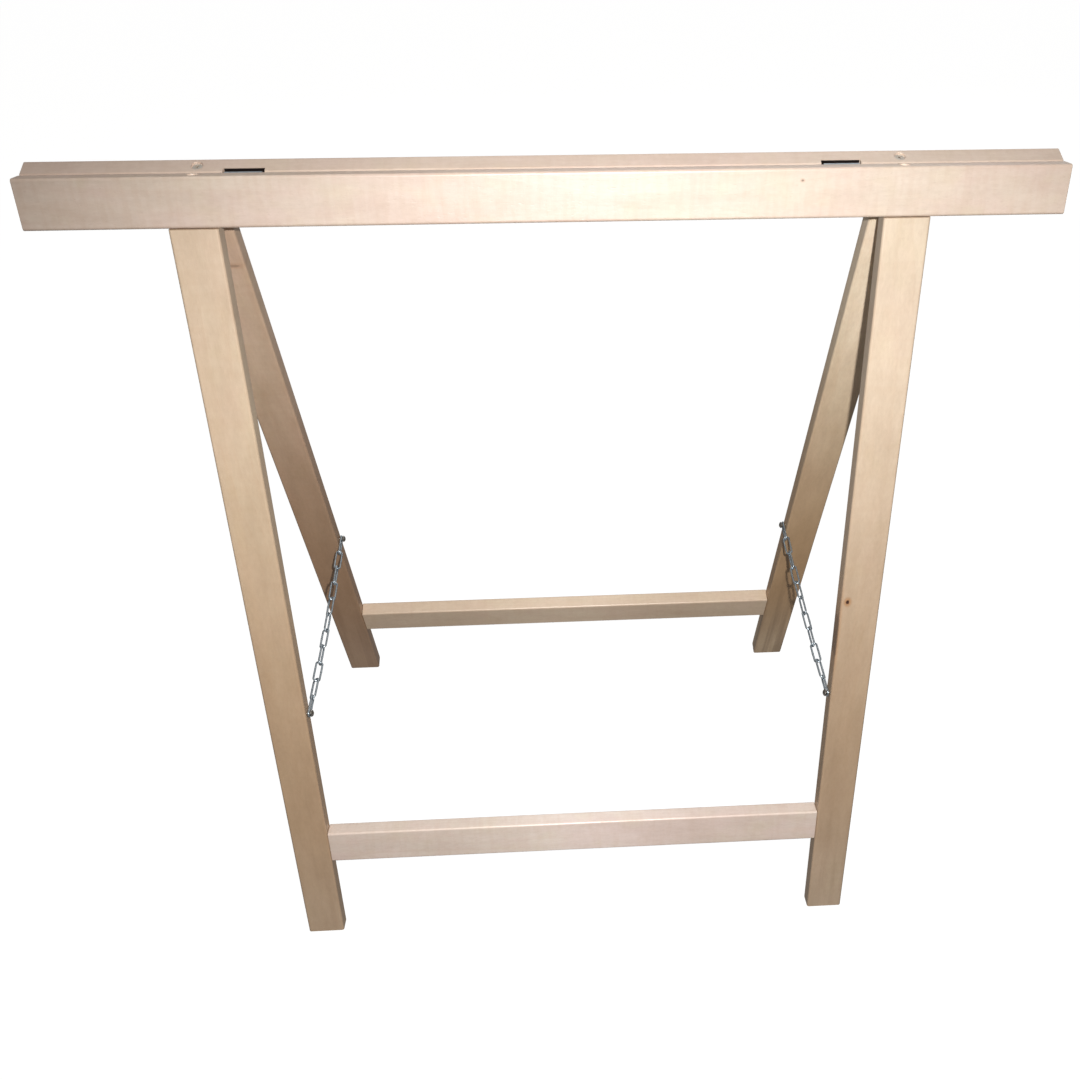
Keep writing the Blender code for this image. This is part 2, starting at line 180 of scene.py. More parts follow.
class SawhorseFinishes(bpy.types.PropertyGroup):
    """Colours of the materials."""

    pale: colour("Pale wood", "Early wood of the beech", (0.82, 0.68, 0.52))
    warm: colour("Warm wood", "Streaks and late wood of the beech", (0.64, 0.43, 0.27))
    pink: colour("Pink wood", "Reddish drift in the beech", (0.80, 0.60, 0.48))
    honey: colour("Honey", "Yellowish patches in the beech", (0.78, 0.66, 0.42))
    # Also paints the shade that falls off towards the legs' feet
    brown: colour("Aged wood", "Wood that has browned", (0.46, 0.285, 0.155))
    fleck: colour("Flecks", "Short dark flecks in the beech", (0.40, 0.24, 0.15))
    end: colour("End grain", "Sawn ends", (0.42, 0.28, 0.17))
    # Painted shade for the walls of the hinges' recesses
    char: colour("Char", "Walls of the hinges' recesses", (0.010, 0.005, 0.004))
    rust: colour("Rust", "Reddish halo of a knot", (0.50, 0.23, 0.08))
    knot: colour("Knot", "Heart of a knot", (0.06, 0.02, 0.01))
    zinc: colour("Zinc", "Bluish bright zinc", (0.52, 0.59, 0.64))
    screw: colour("Screw plating", "Warmer zinc of the sunk screws", (0.90, 0.82, 0.72))
    dull: colour("Dulled zinc", "Zinc where it has been handled", (0.27, 0.31, 0.35))
    bright: colour("Bright steel", "Heads of the chain screws", (0.40, 0.36, 0.31))
    floor: colour("Floor", "Studio floor", (0.98, 0.98, 0.98))


class SawhorseStage(bpy.types.PropertyGroup):
    """Camera and light."""

    eye: bpy.props.FloatVectorProperty(
        name="Camera place", description="Where the camera stands", default=(-0.0063, -0.8212, 1.0849),
        size=3, subtype="TRANSLATION",
    )
    yaw: angle("Yaw", "The camera's turn about the vertical", -4.242)
    tilt: angle("Tilt", "The camera's turn up from straight down", 46.315)
    roll: angle("Roll", "The camera's turn about its own axis", 0.94)
    lens: bpy.props.FloatProperty(
        name="Lens", description="Focal length on a 36 mm sensor", default=36.37, unit="CAMERA"
    )
    shift_x: plain("Shift X", "Sideways lens shift", -0.0738)
    shift_y: plain("Shift Y", "Upward lens shift", 0.05)
    key: power("Key", "Power of the key light", 51.0)
    fill: power("Fill", "Power of the ceiling's light", 7.5)
    back: power("Back", "Power of the light behind", 9.0)
    ambient: plain("Ambient", "Strength of the surrounding light", 0.11)
    gleam: plain("Gleam", "Brightness that polished things mirror", 0.22)
    glow: plain("Glow", "Brightness of the floor and the backdrop", 1.0)
    floor_size: length("Floor size", "Width of the studio floor", 24.0)


GROUPS = {
    "sawhorse_timber": SawhorseTimber,
    "sawhorse_hinges": SawhorseHinges,
    "sawhorse_screws": SawhorseScrews,
    "sawhorse_chains": SawhorseChains,
    "sawhorse_finishes": SawhorseFinishes,
    "sawhorse_stage": SawhorseStage,
}


def timber():
    return bpy.context.scene.sawhorse_timber


def hinges():
    return bpy.context.scene.sawhorse_hinges


def screws():
    return bpy.context.scene.sawhorse_screws


def chains():
    return bpy.context.scene.sawhorse_chains


def finishes():
    return bpy.context.scene.sawhorse_finishes


# Measures that follow from the sizes ---------------------------------------------------------------


def inner_face():
    """From the hinge axis out to a frame's inner face."""
    return timber().fold_gap / 2


def middle_out():
    """From the hinge axis out to the middle of the battens."""
    return inner_face() + timber().thickness / 2


def clear_width():
    """Between a frame's legs."""
    return timber().rail - 2 * (timber().overhang + timber().width)


def leg_x(side):
    """The middle of a leg, along the rail."""
    return -INWARD[side] * (clear_width() + timber().width) / 2


def pin_height():
    """The hinge pins above the floor."""
    reach = timber().height - hinges().sunk
    return reach * math.cos(timber().lean) - inner_face() * math.sin(timber().lean)


def rail_screw_x(side):
    """Where along the rail a screw goes down into its leg."""
    return leg_x(side) + INWARD[side] * screws().inset


def hinge_x(side):
    """The middle of a hinge, along the rail."""
    return getattr(hinges(), side)


def span(which, near, far):
    """The Y range between two distances outwards from the hinge axis."""
    return sorted((OUTWARD[which] * near, OUTWARD[which] * far))


# Modelling by hand ---------------------------------------------------------------------------------


def alone(piece):
    """Select one object and make it the active one."""
    if bpy.context.object and bpy.context.object.mode != "OBJECT":
        bpy.ops.object.mode_set(mode="OBJECT")
    bpy.ops.object.select_all(action="DESELECT")
    piece.select_set(True)
    bpy.context.view_layer.objects.active = piece


def named(name):
    """Name the object just added, with its place moved into its mesh."""
    piece = bpy.context.object
    piece.name = piece.data.name = name
    alone(piece)
    bpy.ops.object.transform_apply(location=True, rotation=True, scale=True)
    return piece


def pick(piece, test, kind="verts"):
    """In edit mode, select only the vertices, edges or faces that pass a test."""
    bpy.ops.mesh.select_all(action="DESELECT")
    bpy.ops.mesh.select_mode(type={"verts": "VERT", "edges": "EDGE", "faces": "FACE"}[kind])
    shape = bmesh.from_edit_mesh(piece.data)
    for element in getattr(shape, kind):
        element.select_set(bool(test(element)))
    shape.select_flush_mode()
    bmesh.update_edit_mesh(piece.data)


def editing(piece):
    """Open a piece in edit mode."""
    alone(piece)
    bpy.ops.object.mode_set(mode="EDIT")


def done(piece, smooth=None):
    """Leave edit mode with the faces pointing out, and shade smooth below an angle if one is given."""
    bpy.ops.object.mode_set(mode="EDIT")
    bpy.ops.mesh.select_all(action="SELECT")
    bpy.ops.mesh.normals_make_consistent(inside=False)
    bpy.ops.object.mode_set(mode="OBJECT")
    if smooth:
        alone(piece)
        bpy.ops.object.shade_smooth_by_angle(angle=math.radians(smooth))
    return piece


def box(name, low, high):
    """A box between two corners, to be shaped further or to cut with."""
    low, high = Vector(low), Vector(high)
    bpy.ops.object.select_all(action="DESELECT")
    bpy.ops.mesh.primitive_cube_add(size=1, location=(low + high) / 2, scale=high - low)
    return named(name)


def turned(name, outline, sides=32):
    """Turn an outline of (radius, height) rings about Z into a closed shape."""
    (radius, height), *rest = outline
    bpy.ops.object.select_all(action="DESELECT")
    bpy.ops.mesh.primitive_circle_add(
        vertices=sides, radius=radius, fill_type="NGON", location=(0, 0, height)
    )
    piece = named(name)
    editing(piece)
    bpy.ops.mesh.select_all(action="SELECT")
    for next_radius, next_height in rest:
        bpy.ops.mesh.extrude_region_move(TRANSFORM_OT_translate={"value": (0, 0, next_height - height)})
        grow = next_radius / radius
        bpy.ops.transform.resize(value=(grow, grow, 1), center_override=(0, 0, next_height))
        radius, height = next_radius, next_height
    return done(piece)


def carve(piece, cutter, operation="DIFFERENCE"):
    """Cut one piece with another, or join them, and remove the other."""
    alone(piece)
    bpy.ops.object.modifier_add(type="BOOLEAN")
    change = piece.modifiers[-1]
    change.operation, change.solver, change.object = operation, "EXACT", cutter
    bpy.ops.object.modifier_apply(modifier=change.name)
    bpy.data.objects.remove(cutter, do_unlink=True)
    return piece


def tidy(piece, smooth):
    """Merge doubles, point faces outwards, shade smooth below an angle and weigh the normals by area."""
    editing(piece)
    bpy.ops.mesh.select_all(action="SELECT")
    bpy.ops.mesh.remove_doubles(threshold=SAME_PLACE)
    done(piece, smooth)
    bpy.ops.object.modifier_add(type="WEIGHTED_NORMAL")
    piece.modifiers[-1].keep_sharp = True
    bpy.ops.object.modifier_apply(modifier=piece.modifiers[-1].name)
    return piece


def move(piece, matrix):
    """Move a piece's mesh, leaving its object at the origin."""
    piece.matrix_world = matrix
    alone(piece)
    bpy.ops.object.transform_apply(location=True, rotation=True, scale=True)
    return piece


def copied(piece, name):
    """A copy of a piece with a mesh of its own."""
    made = piece.copy()
    made.data = piece.data.copy()
    made.name = made.data.name = name
    bpy.context.collection.objects.link(made)
    return made


def aimed(place, direction):
    """The matrix that takes a piece made along -Z to a place and a direction."""
    turn = Vector((0, 0, -1)).rotation_difference(Vector(direction)).to_matrix().to_4x4()
    return Matrix.Translation(place) @ turn


def lean_matrix(which):
    """From a frame's upright place, its rail's top at zero, to its standing place."""
    turn = Matrix.Rotation(OUTWARD[which] * timber().lean, 4, "X")
    return Matrix.Translation((0, 0, pin_height())) @ turn @ Matrix.Translation((0, 0, hinges().sunk))


def hinge_matrix(side, which):
    """From a hinge's own place, its pin along X, to its standing place."""
    return lean_matrix(which) @ Matrix.Translation((hinge_x(side), 0, -hinges().sunk))


def fitted(piece, node, body, material):
    """Let a finished piece stand for its CAD node."""
    piece.data.materials.clear()
    piece.data.materials.append(material)
    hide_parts(node)
    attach(piece, body)
    return piece


def batten(name, low, high, axis):
    """A length of batten: long edges rounded over, sawn ends only just eased."""
    piece = box(name, low, high)
    full = high[axis] - low[axis]
    editing(piece)

    def run(edge):
        return abs(edge.verts[0].co[axis] - edge.verts[1].co[axis])

    pick(piece, lambda edge: run(edge) > full * 0.99, "edges")
    bpy.ops.mesh.bevel(offset=timber().edge, segments=5, profile=0.5, affect="EDGES")
    ends = (low[axis], high[axis])

    def at_end(edge):
        away = min(abs(edge.verts[0].co[axis] - end) for end in ends)
        return run(edge) < SAME_PLACE and away < SAME_PLACE

    pick(piece, at_end, "edges")
    bpy.ops.mesh.bevel(offset=timber().cut_edge, segments=2, profile=0.5, affect="EDGES")
    return done(piece)


# Materials -----------------------------------------------------------------------------------------


class Signal:
    """A shader socket that can be used in arithmetic."""

    def __init__(self, finish, socket):
        self.finish, self.socket = finish, socket

    def maths(self, operation, *values):
        return self.finish.add("ShaderNodeMath", {"operation": operation}, dict(enumerate(values)))

    def __add__(self, other):
        return self.maths("ADD", self, other)

    def __neg__(self):
        return self.maths("MULTIPLY", self, -1)

    def __radd__(self, other):
        return self.maths("ADD", other, self)

    def __sub__(self, other):
        return self.maths("SUBTRACT", self, other)

    def __rsub__(self, other):
        return self.maths("SUBTRACT", other, self)

    def __mul__(self, other):
        return self.maths("MULTIPLY", self, other)

    def __rmul__(self, other):
        return self.maths("MULTIPLY", other, self)

    def __truediv__(self, other):
        return self.maths("DIVIDE", self, other)

    def __pow__(self, other):
        return self.maths("POWER", self, other)

    def __abs__(self):
        return self.maths("ABSOLUTE", self)

    def fract(self):
        return self.maths("FRACT", self)

    def between(self, low, high):
        """A smooth rise from 0 at low to 1 at high."""
        values = {"Value": self, "From Min": low, "From Max": high}
        return self.finish.add("ShaderNodeMapRange", {"interpolation_type": "SMOOTHSTEP"}, values)


class Finish:
    """A node material under construction."""

    def __init__(self, name):
        self.material = bpy.data.materials.new(name)
        self.material.use_nodes = True
        self.tree = self.material.node_tree
        self.tree.nodes.clear()

    def add(self, kind, settings=None, values=None, output=0):
        """Add any node: its settings first, then the values or links of its sockets."""
        node = self.tree.nodes.new(kind)
        for key, value in (settings or {}).items():
            setattr(node, key, value)
        for key, value in (values or {}).items():
            if isinstance(value, Signal):
                self.tree.links.new(value.socket, node.inputs[key])
            else:
                node.inputs[key].default_value = value
        return Signal(self, node.outputs[output]) if node.outputs else None

    def scaled(self, vector, scale):
        """A position stretched by a factor on each axis."""
        return self.add("ShaderNodeVectorMath", {"operation": "MULTIPLY"}, {0: vector, 1: scale})

    def noise(self, vector, scale, detail=2.0, roughness=0.5):
        """Soft noise on a position stretched by a factor on each axis."""
        values = {"Vector": self.scaled(vector, scale), "Scale": 1.0}
        return self.add("ShaderNodeTexNoise", {}, values | {"Detail": detail, "Roughness": roughness})

    def blend(self, share, first, second, mode="MIX"):
        """Mix two colours."""
        first, second = (value if isinstance(value, Signal) else (*value, 1) for value in (first, second))
        settings = {"data_type": "RGBA", "blend_type": mode}
        return self.add("ShaderNodeMix", settings, {0: share, 6: first, 7: second}, output=2)

    def surface(self, values, height=None, strength=0.2, distance=MM):
        """Finish with a Principled shader and an optional bump."""
        if height is not None:
            bump = {"Height": height, "Strength": strength, "Distance": distance}
            values["Normal"] = self.add("ShaderNodeBump", {}, bump)
        shader = self.add("ShaderNodeBsdfPrincipled", {}, values)
        self.add("ShaderNodeOutputMaterial", {}, {"Surface": shader})
        return self.material


# How much of a batten is streaked, reddened, and dirtied and, on a leg, painted with shade towards its
# foot, each from 0 to 1
Tone = namedtuple("Tone", "warmth pinkness soiling")

# A mark through the wide faces, placed from the batten's middle. Its squeeze is its width over its length
Knot = namedtuple("Knot", "along across radius strength squeeze")


def beech(name, which, grain, low, high, seed, tone, tint, knots=(), mortises=()):
    """Raw planed beech for one batten, its grain along the batten.

    The mortises are (along, depth) pairs, where a rail is cut for its hinges; their walls get painted
    shade.
    """
    shades = finishes()
    centre = lean_matrix(which) @ ((Vector(low) + Vector(high)) / 2)
    half = (high[grain] - low[grain]) / 2
    turn = Euler((-OUTWARD[which] * timber().lean, math.radians(90) if grain == 2 else 0, 0))
    wood = Finish(name)
    world = wood.add("ShaderNodeTexCoord", output="Object")
    placing = {"Vector": world, "Location": -(turn.to_matrix() @ centre), "Rotation": turn}
    local = wood.add("ShaderNodeMapping", {}, placing)
    split = wood.add("ShaderNodeSeparateXYZ", {}, {"Vector": local})
    parts = split.socket.node.outputs
    along, through, across = (Signal(wood, parts[axis]) for axis in range(3))
    chance = random.Random(seed)
    shift = tuple(chance.uniform(-9, 9) for _ in range(3))
    grown = wood.add("ShaderNodeVectorMath", {"operation": "ADD"}, {0: local, 1: shift})

    # Growth rings about a pith that lies outside the batten, bent by slow noise
    sway = wood.noise(grown, (2.6, 11, 11), 2.0)
    wander = wood.noise(grown, (9, 60, 60), 2.0)
    pith_through, pith_across = chance.uniform(0.035, 0.075), chance.uniform(-0.02, 0.02)
    radius = ((through + pith_through) ** 2 + (across + pith_across) ** 2) ** 0.5
    rings = (radius + (sway - 0.5) * 0.034 + (wander - 0.5) * 0.0035) / 0.0041
    phase = rings.fract()
    late = phase ** 3 * (1 - phase.between(0.90, 1.0))

    streak = wood.noise(grown, (2.2, 95, 95), 4.0, 0.55)
    drift = wood.noise(grown, (4.5, 22, 22), 2.0)
    blotch = wood.noise(grown, (26, 34, 34), 3.0, 0.6)
    fibre = wood.noise(grown, (30, 1500, 1500), 3.0, 0.6)
    rays = wood.noise(grown, (260, 2600, 1300), 1.0).between(0.62, 0.80)
    ripple = wood.noise(grown, (185, 16, 34), 3.0, 0.55).between(0.38, 0.68)
    honey = wood.noise(grown, (31, 17, 47), 2.0).between(0.50, 0.72)

    warmth, pinkness, soiling_and_shade = tone
    streaked = late * 0.15 + streak.between(0.42, 0.80) * (0.14 + warmth * 0.42)
    base = wood.blend(streaked, shades.pale, shades.warm)
    base = wood.blend(drift.between(0.35, 0.72) * (0.20 + 0.60 * pinkness), base, shades.pink)
    base = wood.blend(blotch.between(0.42, 0.72) * (0.10 + 0.45 * pinkness), base, shades.pink)
    base = wood.blend(honey * (0.10 + 0.16 * pinkness), base, shades.honey)
    base = wood.blend(fibre.between(0.48, 0.80) * 0.10, base, shades.warm)
    base = wood.blend(rays * 0.13, base, shades.fleck)
    base = wood.blend(ripple * (0.06 + 0.13 * pinkness), base, shades.warm)
    if grain == 2:
        # A leg is painted browner towards its foot, less so at the very end: partly ageing, partly painted
        # shade for the light that falls off towards the feet. Damp draws dark streaks up a dirty one
        downwards = -along
        spared = downwards.between(half * 0.55, half) * 0.4
        aged_and_shaded = downwards.between(-half * 1.1, half * 0.45) * (1 - spared)
        base = wood.blend(aged_and_shaded * (0.3 + 0.8 * soiling_and_shade), base, shades.brown)
        damp = downwards.between(half * 0.35, half * 0.85) * streak.between(0.46, 0.62)
        base = wood.blend(damp * soiling_and_shade ** 3 * 0.45, base, shades.knot)

    # Knots: a dark heart with a warm halo, drawn out along the grain
    for knot in knots:
        size = knot.radius
        reach = (((along - knot.along) * knot.squeeze) ** 2 + (across - knot.across) ** 2) ** 0.5
        reach = reach + (blotch - 0.5) * size
        halo = 1 - reach.between(size * 0.8, size * 2.6)
        base = wood.blend(halo * knot.strength * 0.7, base, shades.rust)
        base = wood.blend((1 - reach.between(size * 0.5, size)) * knot.strength, base, shades.knot)

    # Handling soils the rounded edges and leaves grimy patches, and the sawn ends are darker
    top, side = timber().width / 2, timber().thickness / 2
    near_side = abs(across).between(top - 3.6 * MM, top)
    near_face = abs(through).between(side - 3.6 * MM, side)
    patchy = drift.between(0.30, 0.70) * 0.6 + 0.4
    edge = near_side * near_face
    base = wood.blend(edge * patchy * 0.22, base, shades.warm)
    sawn = abs(along).between(half - 0.0007, half - 0.0004)
    base = wood.blend(sawn * (0.5 + 0.35 * fibre), base, shades.end)
    grime = wood.noise(grown, (7, 14, 14), 4.0, 0.62).between(0.50, 0.85) * soiling_and_shade
    base = wood.blend(grime * 0.30, base, shades.fleck)

    # Painted shade: the walls of a hinge's recess are painted near-black, as the shade in the recess, up
    # to just under the rail's top edge
    inwards = through * -OUTWARD[which]
    shade_reach = hinges().size / 2 + MM
    for middle, depth in mortises:
        beside = 1 - abs(along - middle).between(shade_reach, shade_reach + 0.2 * MM)
        foot = across.between(top - 7.0 * MM, top - 6.5 * MM)
        brim = 1 - across.between(top - 0.9 * MM, top - 0.5 * MM)
        wall = inwards.between(side - depth - 0.3 * MM, side - depth)
        base = wood.blend(beside * foot * brim * wall, base, shades.char)
    mottle = wood.noise(grown, (170, 230, 430), 4.0, 0.65)
    patch = wood.noise(grown, (15, 60, 52), 3.0, 0.6)
    shade = 1 + (mottle - 0.5) * 0.20 + (patch - 0.5) * (0.14 + 0.34 * soiling_and_shade) + (streak - 0.5) * 0.12
    if grain == 0 and not mortises:
        # Painted highlight: a stretcher is painted paler in the middle, standing in for the hot spot of
        # light there
        shade = shade + (1 - abs(along + (drift - 0.5) * 0.05).between(0.02, 0.15)) * 0.16
    grey = wood.add("ShaderNodeCombineXYZ", {}, {0: shade, 1: shade ** 1.15, 2: shade ** 1.35})
    base = wood.blend(1.0, base, grey, mode="MULTIPLY")
    base = wood.blend(1.0, base, tint, mode="MULTIPLY")

    rough = 0.40 + (streak - 0.5) * 0.10 + rays * 0.08 + sawn * 0.30 - edge * 0.05 + grime * 0.10
    height = fibre * 0.45 + ripple * 0.22 - rays * 0.5 + late * 0.25 + sawn * fibre
    values = {"Base Color": base, "Roughness": rough, "Specular IOR Level": 1.0}
    return wood.surface(values, height, strength=0.30, distance=0.3 * MM)


def zinc(name, seed, handled, plating):
    """Bright zinc plating on steel: bluish, faintly blotched, dulled where it rubs."""
    shades = finishes()
    plate = Finish(name)
    world = plate.add("ShaderNodeTexCoord", output="Object")
    chance = random.Random(seed)
    shift = tuple(chance.uniform(-5, 5) for _ in range(3))
    place = plate.add("ShaderNodeVectorMath", {"operation": "ADD"}, {0: world, 1: shift})
    cloud = plate.noise(place, (260, 260, 260), 4.0, 0.6)
    cells = {"Vector": plate.scaled(place, (620, 620, 620)), "Scale": 1.0}
    spangle = plate.add("ShaderNodeTexVoronoi", {"feature": "F1"}, cells)
    scratch = plate.noise(place, (900, 5200, 2100), 2.0).between(0.56, 0.70)
    worn = cloud.between(0.40, 0.72)
    base = plate.blend(worn * handled, plating, shades.dull)
    base = plate.blend(spangle * 0.12, base, shades.dull)
    rough = 0.27 + worn * 0.16 + scratch * 0.14 + spangle * 0.05
    values = {"Base Color": base, "Roughness": rough, "Metallic": 0.92}
    return plate.surface(values, cloud * 0.6 + scratch * 0.5, strength=0.22, distance=0.2 * MM)


def bright_steel(name):
    """Turned steel with a thin yellowish lacquer, rubbed on top."""
    shades = finishes()
    steel = Finish(name)
    world = steel.add("ShaderNodeTexCoord", output="Object")
    cloud = steel.noise(world, (420, 420, 420), 4.0, 0.6)
    scratch = steel.noise(world, (3200, 900, 3200), 2.0).between(0.55, 0.72)
    base = steel.blend(cloud.between(0.40, 0.75) * 0.55, shades.bright, shades.dull)
    rough = 0.20 + cloud * 0.14 + scratch * 0.16
    values = {"Base Color": base, "Roughness": rough, "Metallic": 1.0}
    return steel.surface(values, cloud + scratch * 0.5, strength=0.15, distance=0.2 * MM)


# Pieces --------------------------------------------------------------------------------------------


def countersink(name, head, shank, cone, sink, depth):
    """The clearance hole of a countersunk screw, made along -Z and open above its head."""
    gap = timber().joint_gap
    outline = [(head + gap, OVERRUN), (head + gap, -sink - gap), (shank + gap, -sink - cone - gap)]
    return turned(name, outline + [(shank + gap, -depth)])


def cross_recess(piece, top, size):
    """Press a tapered cross into a screw's head, whose top is at the given height."""
    for turn in (0, 90):
        cutter = box("cross", (-size, -size * 0.24, top - size * 1.1), (size, size * 0.24, top + size))
        editing(cutter)
        pick(cutter, lambda vert: vert.co.z < top)
        bpy.ops.transform.resize(value=(0.30, 0.45, 1), center_override=(0, 0, top))
        done(cutter)
        move(cutter, Matrix.Rotation(math.radians(turn), 4, "Z"))
        carve(piece, cutter)
    return piece


def countersunk_screw(name, head, shank, cone, full):
    """A countersunk screw with a cross recess, made along -Z with its head's top at the origin."""
    rim = head * 0.07
    outline = [(head - rim, 0), (head, -rim), (head, -rim * 1.6), (shank, -cone)]
    outline += [(shank, -full + shank * 2), (shank * 0.1, -full)]
    piece = turned(name, outline)
    cross_recess(piece, 0, head * 0.56)
    return tidy(piece, 32)


def round_head_screw(name):
    """A round-head screw with a neck for the link, made along -Z with the leg's face at the origin."""
    sizes = screws()
    seat = 2 * (chains().play + chains().wire)
    turns = [math.radians(value) for value in (12, 24, 36, 48, 60, 72, 82)]
    dome = [(sizes.chain_head * math.sin(a), seat + sizes.chain_dome * math.cos(a)) for a in turns]
    outline = [*dome, (sizes.chain_head, seat + 0.3 * MM), (sizes.chain_head - 0.2 * MM, seat)]
    outline += [(sizes.chain_shank, seat), (sizes.chain_shank, -sizes.chain_bite + 3 * MM)]
    outline += [(sizes.chain_shank * 0.1, -sizes.chain_bite)]
    piece = turned(name, outline)
    cross_recess(piece, seat + sizes.chain_dome, sizes.chain_head * 0.55)
    return tidy(piece, 38)


def rail_corners(which):
    """The corners of a rail, upright."""
    near, far = span(which, inner_face(), inner_face() + timber().thickness)
    half = timber().rail / 2
    return (-half, near, -timber().width), (half, far, 0)


def leg_corners(which, side):
    """The corners of a leg, upright."""
    near, far = span(which, inner_face(), inner_face() + timber().thickness)
    x, half = leg_x(side), timber().width / 2
    return (x - half, near, -timber().height), (x + half, far, -timber().width - timber().joint_gap)


def stretcher_corners(which):
    """The corners of a stretcher, upright."""
    near, far = span(which, inner_face(), inner_face() + timber().thickness)
    half, top = clear_width() / 2 - timber().joint_gap, -timber().stretcher
    return (-half, near, top - timber().width), (half, far, top)


def make_rail(which, seed, tone, tint, knots=()):
    """A top rail with its hinge recesses and countersunk holes."""
    low, high = rail_corners(which)
    piece = batten(f"{which}_rail_wood", low, high, 0)
    sizes, screw, gap = hinges(), screws(), timber().joint_gap
    depth = sizes.front_notch if which == "front" else sizes.rear_notch
    for side in SIDES:
        x = hinge_x(side)
        half = sizes.size / 2 + 2.5 * gap + sizes.pin_end
        near, far = span(which, -OVERRUN, depth)
        carve(piece, box("notch", (x - half, near, -sizes.notch_height), (x + half, far, OVERRUN)))
        half = sizes.size / 2 + gap
        near, far = span(which, -OVERRUN, inner_face() + sizes.leaf + 2 * gap)
        foot, top = -sizes.sunk - sizes.drop - gap, -sizes.notch_height / 2
        carve(piece, box("bed", (x - half, near, foot), (x + half, far, top)))
        middle = Vector((rail_screw_x(side), OUTWARD[which] * middle_out(), 0))
        through = timber().width + OVERRUN
        hole = countersink("hole", screw.head, screw.shank, screw.cone, screw.sink, through)
        carve(piece, move(hole, Matrix.Translation(middle)))
    tidy(piece, 32)
    move(piece, lean_matrix(which))
    cuts = [(hinge_x(side), depth) for side in SIDES]
    material = beech(f"beech {which} rail", which, 0, low, high, seed, tone, tint, knots, cuts)
    return fitted(piece, f"{which}_rail", f"{which}_frame", material)


def chain_outset():
    """How far a chain screw stands outwards from the hinge axis."""
    return inner_face() + screws().chain_depth


def make_leg(which, side, seed, tone, tint, knots=()):
    """A leg with the hole for its stretcher screw and the one for its chain screw."""
    low, high = leg_corners(which, side)
    piece = batten(f"{which}_{side}_leg_wood", low, high, 2)
    sizes = screws()
    place, direction = stretcher_screw_place(which, side)
    hole = countersink("hole", sizes.head, sizes.shank, sizes.cone, sizes.sink, timber().width + OVERRUN)
    carve(piece, move(hole, aimed(place, direction)))
    radius = sizes.chain_shank + BORE_PLAY
    bore = turned("bore", [(radius, OVERRUN), (radius, -sizes.chain_bite)])
    carve(piece, move(bore, aimed(*chain_screw_place(which, side))))
    tidy(piece, 32)
    move(piece, lean_matrix(which))
    material = beech(f"beech {which} {side} leg", which, 2, low, high, seed, tone, tint, knots)
    return fitted(piece, f"{which}_{side}_leg", f"{which}_frame", material)


def make_stretcher(which, seed, tone, tint):
    """The low bar between a frame's legs."""
    low, high = stretcher_corners(which)
    piece = batten(f"{which}_stretcher_wood", low, high, 0)
    tidy(piece, 32)
    move(piece, lean_matrix(which))
    material = beech(f"beech {which} stretcher", which, 0, low, high, seed, tone, tint)
    return fitted(piece, f"{which}_stretcher", f"{which}_frame", material)


def stretcher_screw_place(which, side):
    """Where a stretcher screw enters its leg, upright, and its direction."""
    x = leg_x(side) - INWARD[side] * timber().width / 2
    z = -timber().stretcher - timber().width / 2
    return Vector((x, OUTWARD[which] * middle_out(), z)), Vector((INWARD[side], 0, 0))


def chain_screw_place(which, side):
    """Where a chain screw enters its leg's inner side, upright, and its direction."""
    x = leg_x(side) + INWARD[side] * timber().width / 2
    z = -hinges().sunk - chain_drop()
    return Vector((x, OUTWARD[which] * chain_outset(), z)), Vector((-INWARD[side], 0, 0))


def make_leaf(side, which):
    """A hinge leaf: a plate with countersunk holes, rolled into its knuckles."""
    sizes, screw, gap = hinges(), screws(), timber().joint_gap
    inner = inner_face() + LEAF_GAP
    near, far = span(which, inner, inner + sizes.leaf)
    half = sizes.size / 2
    top = -sizes.knuckle - gap
    piece = box(f"{side}_hinge_{which}_plate", (-half, near, -sizes.drop), (half, far, top))
    editing(piece)

    def lower_corner(edge):
        a, b = (vert.co for vert in edge.verts)
        return abs(a.y - b.y) > sizes.leaf / 2 and a.z < top - gap

    pick(piece, lower_corner, "edges")
    bpy.ops.mesh.bevel(offset=1.6 * MM, segments=5, profile=0.5, affect="EDGES")
    done(piece)
    step = sizes.size / 3
    first = 0 if which == "front" else 1
    for number in range(first, 3, 2):
        start = -half + step * number + gap / 2
        end = start + step - gap
        carve(piece, box("tab", (start, near, top - MM), (end, far, -1.6 * MM)), "UNION")
        barrel = turned("barrel", [(sizes.knuckle, 0), (sizes.knuckle, start - end)], 28)
        carve(piece, move(barrel, aimed((start, 0, 0), (1, 0, 0))), "UNION")
        bore = turned("bore", [(sizes.pin + gap, MM), (sizes.pin + gap, start - end - MM)], 20)
        carve(piece, move(bore, aimed((start, 0, 0), (1, 0, 0))))
        # The seam where the rolled sheet comes back to the plate
        low, high = span(which, -1.1 * MM, -0.9 * MM)
        carve(piece, box("seam", (start - gap, low, -sizes.knuckle - gap), (end + gap, high, -MM)))
    for way in (-1, 1):
        hole = countersink("hole", screw.leaf_head, screw.leaf_shank, screw.leaf_cone, 0, OVERRUN)
        place = (way * sizes.screw_x, OUTWARD[which] * inner, -sizes.screw_drop)
        carve(piece, move(hole, aimed(place, (0, OUTWARD[which], 0))))
    tidy(piece, 35)
    return move(piece, hinge_matrix(side, which))


